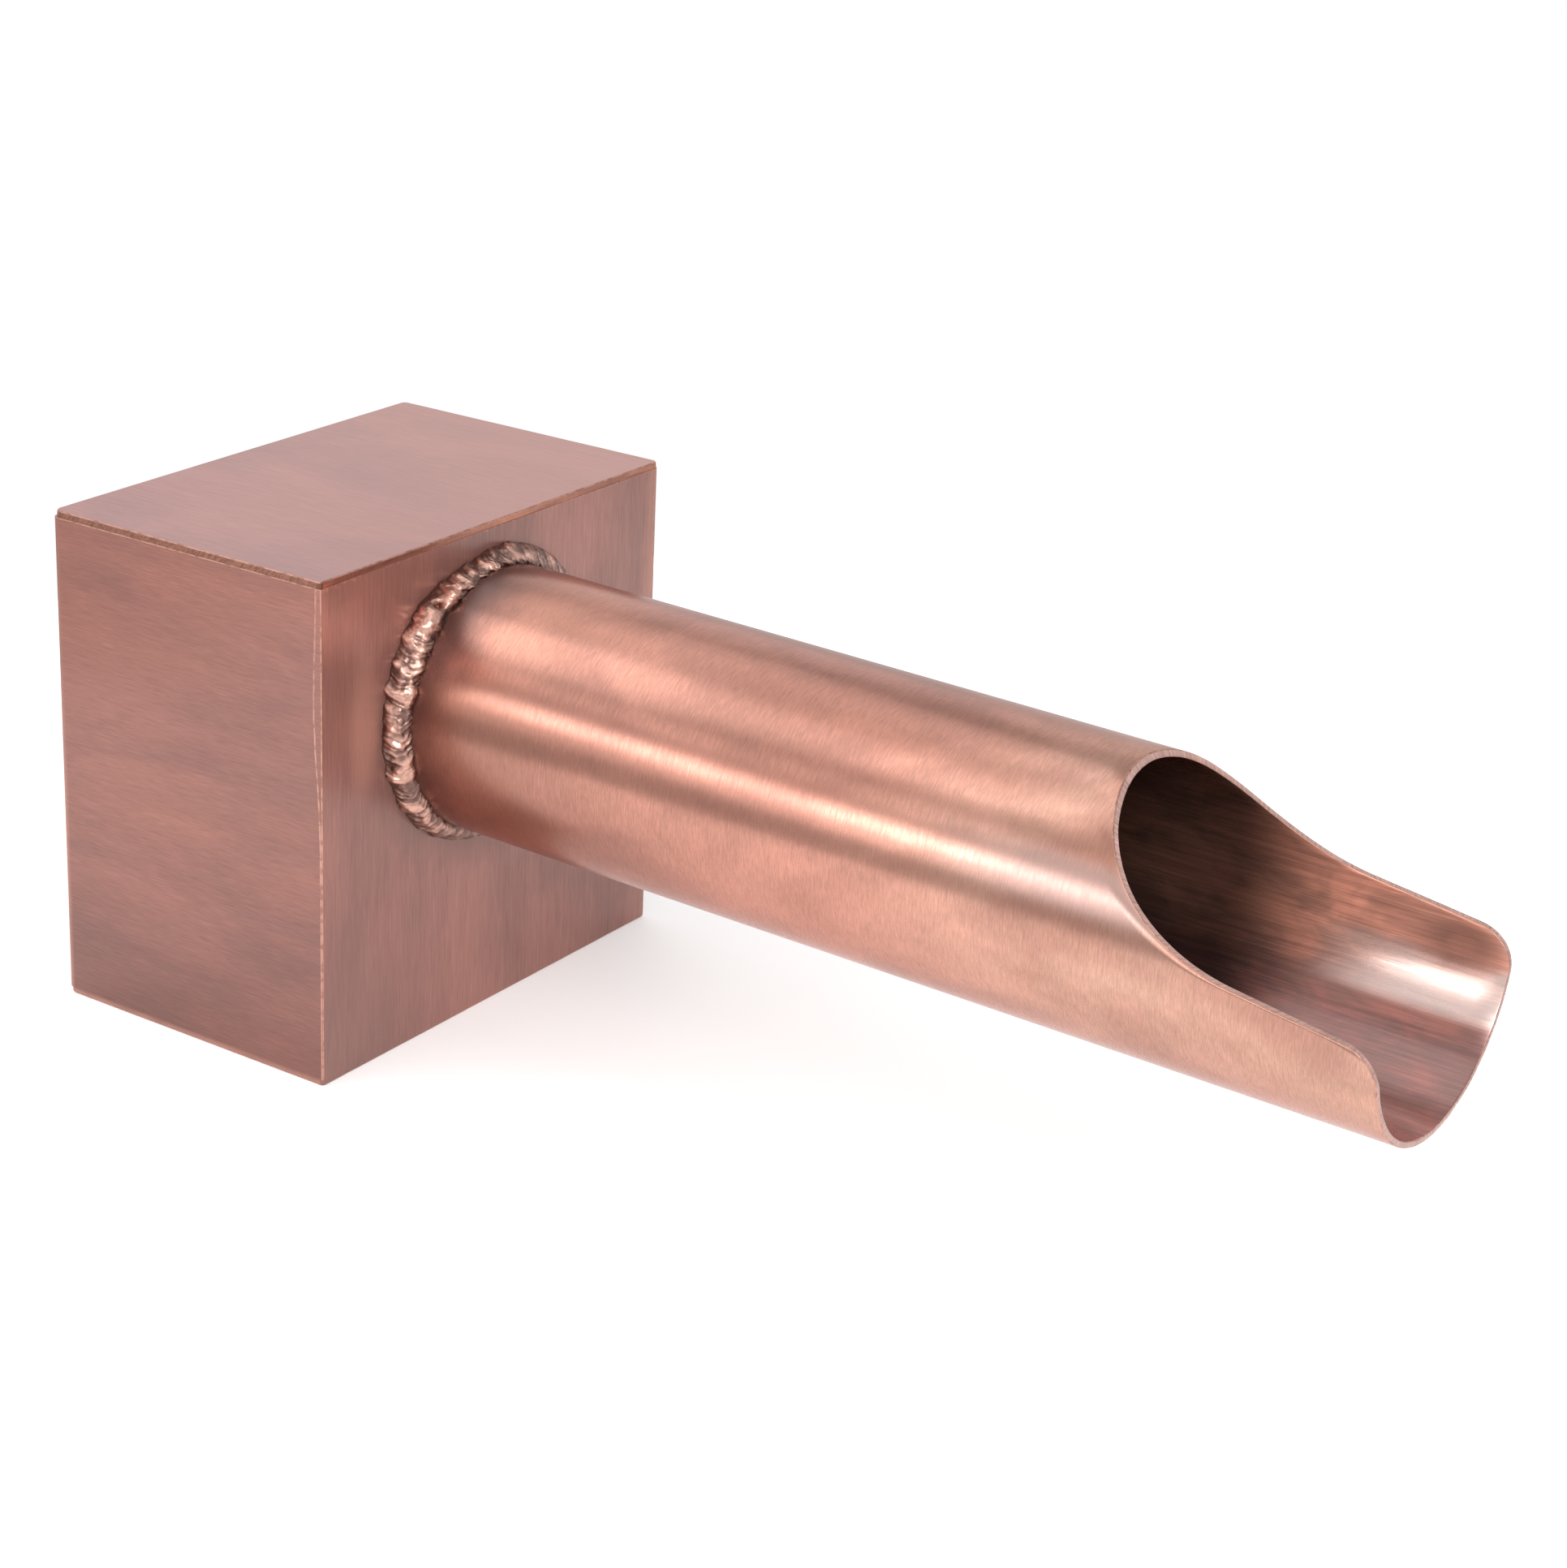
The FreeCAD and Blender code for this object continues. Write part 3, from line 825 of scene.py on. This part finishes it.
def bead_relief(puddles, ripples, turn, share):
    """Height over the smooth bead in metres, and how much of a crest the place is."""
    across = 2 * share - 1
    run = turn * BEAD_RUN_RADIUS
    lively = calmness(turn)
    where = Vector((math.sin(turn), math.cos(turn), 0)) * BEAD_RUN_RADIUS
    where.z = share * BEAD_SPAN
    wander = noise.noise(where / (3.5 * MM)) * 1.2 * MM
    puddle = scale_height(puddles, run + wander, across) * lively
    ripple = scale_height(ripples, run + wander, across) * lively
    lump = noise.noise(where / (4.5 * MM)) * lively
    knob = noise.noise(where / (2.2 * MM) + Vector((9, 0, 0))) * lively
    rough = noise.noise(where / (1.0 * MM))
    height = puddle * PUDDLE_HEIGHT + ripple * RIPPLE_HEIGHT + lump * LUMP_HEIGHT
    height += knob * KNOB_HEIGHT + rough * GRAIN_HEIGHT
    for blob_turn, blob_share, blob_height, blob_radius in BLOBS:
        along = turn_gap(turn, math.radians(blob_turn)) * BEAD_RUN_RADIUS
        aside = (share - blob_share) * BEAD_SPAN
        height += blob_height * math.exp(-(along ** 2 + aside ** 2) / blob_radius ** 2)
        if blob_height > 0:
            lump += 1.5 * math.exp(-(along ** 2 + aside ** 2) / blob_radius ** 2)
    crest = 0.1 + 0.45 * puddle + 0.3 * ripple + 0.6 * lump + 0.4 * knob - 0.9 * abs(across) ** 6
    return height, crest


def build_weld():
    """The rippled bead, as slices round the tube."""
    builder = bmesh.new()
    crest_layer = builder.verts.layers.float.new("crest")
    puddles = lay_scales(PUDDLE_SEED, PUDDLE_PITCH)
    ripples = lay_scales(RIPPLE_SEED, RIPPLE_PITCH)
    tan_fall = math.tan(SPOUT_FALL)
    rings = []
    for slice_index in range(BEAD_SLICES):
        turn = 2 * math.pi * slice_index / BEAD_SLICES
        plate_leg = LEG_ON_PLATE
        plate_leg += WIDE_SPOT_GAIN * spot(turn, WIDE_SPOT_TURN) - NARROW_SPOT_LOSS * spot(turn, NARROW_SPOT_TURN)
        tube_leg = LEG_ON_TUBE + LEG_ON_TUBE_SWELL * math.cos(turn + TUBE_SWELL_TURN)
        ring_at = Vector((math.sin(turn), math.cos(turn), 0)) * BEAD_RUN_RADIUS / (3.2 * MM)
        plate_leg += noise.noise(ring_at) * TOE_WAVER
        tube_leg += noise.noise(ring_at + Vector((0, 0, 5))) * TOE_WAVER
        verts = []
        for row in range(BEAD_ROWS + 1):
            share = min(row / (BEAD_ROWS - 1), 1.0)
            angle = share * math.pi / 2
            height, crest = bead_relief(puddles, ripples, turn, share)
            off_tube = (plate_leg - TOE_LIFT) * math.cos(angle) ** 0.9 + height * math.cos(angle)
            off_plate = (tube_leg - TOE_LIFT) * math.sin(angle) ** 0.9 + height * math.sin(angle)
            if row == 0:
                off_plate = -BEAD_SINK
            if row == BEAD_ROWS - 1:
                off_tube = -BEAD_SINK
            if row == BEAD_ROWS:
                off_tube = off_plate = -BEAD_SINK
            radius = SPOUT_RADIUS + off_tube
            up = radius * math.cos(turn)
            vert = builder.verts.new(spout_point(radius * math.sin(turn), off_plate - up * tan_fall, up))
            vert[crest_layer] = crest
            verts.append(vert)
        rings.append(verts)
    for verts, after in zip(rings, rings[1:] + rings[:1]):
        for index in range(BEAD_ROWS + 1):
            other = (index + 1) % (BEAD_ROWS + 1)
            face = builder.faces.new((verts[index], verts[other], after[other], after[index]))
            face.smooth = index < BEAD_ROWS - 1
    bmesh.ops.recalc_face_normals(builder, faces=builder.faces)
    piece = new_piece("spout_weld_bead", builder, [weld_copper()])
    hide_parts("spout_weld")


# The plates with hand-ground edges

CORNER_RADIUS = 2.0 * MM
WORN_CORNER_RADIUS = 3.0 * MM
SLAB_CORNER_RADIUS = 1.2 * MM
RIDGE_WIDTH = 0.28 * MM
GRIND_WAVER = 0.07 * MM
OUTLINE_STEP = 2.5 * MM
SIDE_LEVELS = 100
MERGE_GAP = 0.001 * MM
SHARP_ANGLE = math.radians(20)
SIDE, FRONT, TOP, EDGE, BRIGHT = range(5)


def near_corner_cut(z):
    """How far the grinder took the near left corner back along the side and along the front."""
    belly = math.exp(-((z - 115 * MM) / (26 * MM)) ** 2)
    upper = 1 / (1 + math.exp(-(z - 95 * MM) / (7 * MM)))
    side = 0.35 * MM + 1.15 * MM * upper + 1.15 * MM * belly
    side += noise.noise(Vector((0, 0, z / (5 * MM)))) * 0.12 * MM
    front = 0.30 * MM + noise.noise(Vector((7, 0, z / (4 * MM)))) * 0.05 * MM
    return side, front


def corner_arc(centre, radius, start_deg, end_deg, steps=7):
    """Points of a quarter circle in plan."""
    points = []
    for step in range(steps + 1):
        turn = math.radians(start_deg + (end_deg - start_deg) * step / steps)
        points.append((centre[0] + radius * math.cos(turn), centre[1] + radius * math.sin(turn)))
    return points


def near_corner(z):
    """Plan points of the near left corner with their finishes, from the side face to the front face."""
    side, front = near_corner_cut(z)
    x, y = -HALF_WIDTH, -HALF_DEPTH
    slope = Vector((front, -side)).normalized() * RIDGE_WIDTH
    return [
        ((x, y + side + RIDGE_WIDTH), BRIGHT),
        ((x + slope.x, y + side + slope.y), SIDE),
        ((x + front - slope.x, y - slope.y), BRIGHT),
        ((x + front + RIDGE_WIDTH * 0.6, y), FRONT),
    ]


def side_outline(z, sign):
    """Plan of a side plate at one height, with the finish of each stretch; sign is -1 on the left."""
    inner = HALF_WIDTH - THICKNESS
    rear = corner_arc((-HALF_WIDTH + CORNER_RADIUS, HALF_DEPTH - CORNER_RADIUS), CORNER_RADIUS, 90, 180)
    points = [((x, y), SIDE) for x, y in rear]
    if sign < 0:
        points += near_corner(z)
    else:
        fore = corner_arc((-HALF_WIDTH + CORNER_RADIUS, -HALF_DEPTH + CORNER_RADIUS), CORNER_RADIUS, 180, 270)
        points += [((x, y), SIDE) for x, y in fore[:-1]] + [(fore[-1], FRONT)]
    points += [((-inner, -HALF_DEPTH), SIDE), ((-inner, HALF_DEPTH), FRONT)]
    return [((-sign * x, y), finish) for (x, y), finish in points]


def keep_edges_sharp(builder):
    """Marks every edge that turns by more than the sharp angle."""
    for edge in builder.edges:
        edge.smooth = edge.calc_face_angle(0.0) < SHARP_ANGLE


def build_side(node, name, sign):
    """A side plate, lofted through its outlines from the bottom plate to the top plate."""
    builder = bmesh.new()
    low = THICKNESS
    high = BOX_TOP - THICKNESS
    levels = [(low + (high - low) * step / SIDE_LEVELS, 0.0) for step in range(SIDE_LEVELS)]
    levels += [(high - RIDGE_WIDTH, 0.0), (high, RIDGE_WIDTH)]
    rings = []
    for z, inset in levels:
        outline = side_outline(z, sign)
        verts = []
        for (x, y), _ in outline:
            pulled = sign * HALF_WIDTH - sign * inset if abs(abs(x) - HALF_WIDTH) < 1e-6 else x
            verts.append(builder.verts.new((pulled, y, z)))
        rings.append((z, verts, [finish for _, finish in outline]))
    for (z, verts, finishes), (_, after, _) in zip(rings, rings[1:]):
        count = len(verts)
        for index in range(count):
            other = (index + 1) % count
            face = builder.faces.new((verts[index], verts[other], after[other], after[index]))
            face.material_index = finishes[index]
            face.smooth = True
            if z >= high - RIDGE_WIDTH - 1e-6 and finishes[index] == SIDE:
                face.material_index = BRIGHT
    builder.faces.new(rings[0][1])
    builder.faces.new(rings[-1][1])
    bmesh.ops.remove_doubles(builder, verts=builder.verts, dist=MERGE_GAP)
    bmesh.ops.recalc_face_normals(builder, faces=builder.faces)
    keep_edges_sharp(builder)
    piece = new_piece(name, builder, PLATE_COPPERS)
    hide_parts(node)


def slab_outline():
    """Plan of the box all round, closely stepped, with a finish for each point."""
    w, d, r = HALF_WIDTH, HALF_DEPTH, CORNER_RADIUS
    worn = WORN_CORNER_RADIUS
    near_radius = SLAB_CORNER_RADIUS
    near = corner_arc((-w + near_radius, -d + near_radius), near_radius, 180, 270, 5)
    corners_in_turn = [
        corner_arc((w - r, -d + r), r, 270, 360),
        corner_arc((w - r, d - r), r, 0, 90),
        corner_arc((-w + worn, d - worn), worn, 90, 180),
        near,
    ]
    kinds = [SIDE, FRONT, SIDE, FRONT]
    points = []
    for index, corner in enumerate(corners_in_turn):
        following = corners_in_turn[(index + 1) % 4][0]
        points += [(Vector(point), kinds[index]) for point in corner]
        start, end = Vector(corner[-1]), Vector(following)
        steps = int((end - start).length / OUTLINE_STEP)
        points += [(start.lerp(end, step / steps), kinds[index]) for step in range(1, steps)]
    return points


def build_slab(node, name, levels, cap):
    """The top or bottom plate: its outline at several heights, each drawn in by an inset."""
    builder = bmesh.new()
    rings = []
    for z, inset, finish in levels:
        outline = slab_outline()
        count = len(outline)
        verts = []
        for index, (point, _) in enumerate(outline):
            before, after = outline[index - 1][0], outline[(index + 1) % count][0]
            along = (after - before).normalized()
            outward = Vector((along.y, -along.x))
            waver = noise.noise(Vector((point.x, point.y, z * 3)) / (7 * MM)) * GRIND_WAVER if inset else 0.0
            moved = point - outward * (inset + waver)
            verts.append(builder.verts.new((moved.x, moved.y, z)))
        rings.append((verts, finish, [kind for _, kind in outline]))
    for (verts, finish, kinds), (after, _, _) in zip(rings, rings[1:]):
        count = len(verts)
        for index in range(count):
            other = (index + 1) % count
            face = builder.faces.new((verts[index], verts[other], after[other], after[index]))
            face.material_index = kinds[index] if finish is None else finish
            face.smooth = True
    for verts in (rings[0][0], rings[-1][0]):
        builder.faces.new(verts).material_index = cap
    bmesh.ops.recalc_face_normals(builder, faces=builder.faces)
    keep_edges_sharp(builder)
    piece = new_piece(name, builder, PLATE_COPPERS)
    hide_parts(node)


def build_plates():
    """The box: ground side, top and bottom plates; front and back keep their solids and get copper."""
    build_side("left_plate", "left_ground_plate", -1)
    build_side("right_plate", "right_ground_plate", 1)
    top_levels = [
        (BOX_TOP - THICKNESS, 0.20 * MM, EDGE),
        (BOX_TOP - 0.34 * MM, 0.30 * MM, BRIGHT),
        (BOX_TOP, 0.58 * MM, BRIGHT),
    ]
    build_slab("top_plate", "top_ground_plate", top_levels, TOP)
    bottom_levels = [
        (0.0, 0.62 * MM, BRIGHT),
        (0.18 * MM, 0.26 * MM, None),
        (0.62 * MM, 0.0, None),
        (THICKNESS, 0.0, None),
    ]
    build_slab("bottom_plate", "bottom_ground_plate", bottom_levels, TOP)
    for node in ("front_plate", "back_plate"):
        plate = frame["nodes"][node]
        plate.data.materials.clear()
        plate.data.materials.append(PLATE_COPPERS[FRONT])


# Studio

def add_camera():
    """The camera at the photograph's viewing angle."""
    data = bpy.data.cameras.new("camera")
    data.lens = CAMERA_LENS_MM
    data.sensor_width = SENSOR_WIDTH_MM
    data.shift_x, data.shift_y = CAMERA_SHIFT
    data.clip_start, data.clip_end = CLIP_RANGE
    camera = bpy.data.objects.new("camera", data)
    camera.location = CAMERA_AT
    camera.rotation_euler = [math.radians(angle) for angle in CAMERA_TURN_DEG]
    bpy.context.scene.collection.objects.link(camera)
    bpy.context.scene.camera = camera


# Each soft light: azimuth from +Y towards +X and elevation in degrees, distance, width, height, watts
LIGHT_AIM = Vector((0.0, -0.15, 0.08))
LIGHTS = {
    "strip_low": (-61, 18, 1.6, 1.1, 0.22, 3.0),
    "strip_high": (-50, 36, 1.6, 1.0, 0.30, 0.7),
    "overhead_left": (-25, 53, 1.6, 0.9, 0.55, 3.05),
    "overhead_right": (30, 55, 1.6, 0.8, 0.6, 1.2),
    "back_right": (50, 24, 1.6, 0.8, 0.7, 0.5),
    "left_low": (-75, 12, 1.6, 1.0, 0.4, 1.8),
    "right_low": (110, 12, 1.6, 1.0, 0.4, 1.3),
    "front_left": (-130, 35, 1.6, 0.9, 0.9, 16.0),
    "zenith": (0, 88, 1.6, 1.2, 1.2, 5.2),
}
# How bright the room is for diffuse rays, and how bright mirrors see it at three heights
ROOM_STRENGTH = 0.82
HORIZON_SEEN = 0.72
MIDDLE_SEEN = 0.80
ZENITH_SEEN = 0.56
FLOOR_GLOW = 0.20
PAPER_WHITE = (0.86, 0.86, 0.86, 1)
WHITE = (1, 1, 1, 1)
FLOOR_CENTRE = (0.0, -0.15)
FLOOR_RADIUS = 0.5
FLOOR_SIDES = 96


def add_lights():
    """Soft rectangular lights round the part, all facing it."""
    for name, (azimuth, elevation, distance, width, height, watts) in LIGHTS.items():
        data = bpy.data.lights.new(name, "AREA")
        data.shape = "RECTANGLE"
        data.size = width
        data.size_y = height
        data.energy = watts
        turn, rise = math.radians(azimuth), math.radians(elevation)
        away = Vector((math.sin(turn) * math.cos(rise), math.cos(turn) * math.cos(rise), math.sin(rise)))
        light = bpy.data.objects.new(name, data)
        light.location = LIGHT_AIM + away * distance
        light.rotation_euler = away.to_track_quat("Z", "Y").to_euler()
        bpy.context.scene.collection.objects.link(light)


def ray(tree, kind):
    """1 for one kind of ray, such as Is Camera Ray."""
    return tree.nodes.new("ShaderNodeLightPath").outputs[kind]


def add_floor():
    """A round white table top under the part; beyond it the camera sees the white room."""
    mesh = bpy.data.meshes.new("floor")
    turns = [2 * math.pi * step / FLOOR_SIDES for step in range(FLOOR_SIDES)]
    rim = [(FLOOR_CENTRE[0] + FLOOR_RADIUS * math.cos(turn), FLOOR_CENTRE[1] + FLOOR_RADIUS * math.sin(turn), 0)
           for turn in turns]
    mesh.from_pydata(rim, [], [tuple(range(FLOOR_SIDES))])
    floor = bpy.data.objects.new("floor", mesh)
    bpy.context.scene.collection.objects.link(floor)
    material = bpy.data.materials.new("floor_paper")
    material.use_nodes = True
    tree = material.node_tree
    tree.nodes.clear()
    output = tree.nodes.new("ShaderNodeOutputMaterial")
    paper = tree.nodes.new("ShaderNodeBsdfDiffuse")
    paper.inputs["Color"].default_value = PAPER_WHITE
    glow = tree.nodes.new("ShaderNodeEmission")
    glow.inputs["Color"].default_value = WHITE
    seen = total(tree, ray(tree, "Is Camera Ray"), ray(tree, "Is Glossy Ray"), ray(tree, "Is Transmission Ray"))
    feed(tree, glow.inputs["Strength"], calc(tree, "MULTIPLY", seen, FLOOR_GLOW))
    both = tree.nodes.new("ShaderNodeAddShader")
    tree.links.new(paper.outputs[0], both.inputs[0])
    tree.links.new(glow.outputs[0], both.inputs[1])
    tree.links.new(both.outputs[0], output.inputs["Surface"])
    mesh.materials.append(material)


def add_world():
    """A pale room: white to the camera, and in reflections a little darker towards the horizon."""
    world = bpy.data.worlds.new("studio")
    bpy.context.scene.world = world
    world.use_nodes = True
    tree = world.node_tree
    tree.nodes.clear()
    output = tree.nodes.new("ShaderNodeOutputWorld")
    _, _, rise = axes(tree, tree.nodes.new("ShaderNodeTexCoord").outputs["Generated"])
    lower = remap(tree, rise, 0.06, 0.30, HORIZON_SEEN, MIDDLE_SEEN)
    mirrored = remap(tree, rise, 0.55, 0.80, lower, ZENITH_SEEN)
    seen = total(
        tree,
        ray(tree, "Is Camera Ray"),
        ray(tree, "Is Transmission Ray"),
        product(tree, ray(tree, "Is Glossy Ray"), mirrored),
        product(tree, ray(tree, "Is Diffuse Ray"), ROOM_STRENGTH),
    )
    backdrop = tree.nodes.new("ShaderNodeBackground")
    backdrop.inputs["Color"].default_value = WHITE
    feed(tree, backdrop.inputs["Strength"], seen)
    tree.links.new(backdrop.outputs[0], output.inputs["Surface"])


RIDGE_COPPER = ridge_copper()
PLATE_COPPERS = [side_copper(), front_copper(), top_copper(), edge_copper(), RIDGE_COPPER]
build_tube()
build_weld()
build_plates()
add_camera()
add_floor()
add_world()
add_lights()
bpy.context.scene.view_settings.view_transform = "Standard"
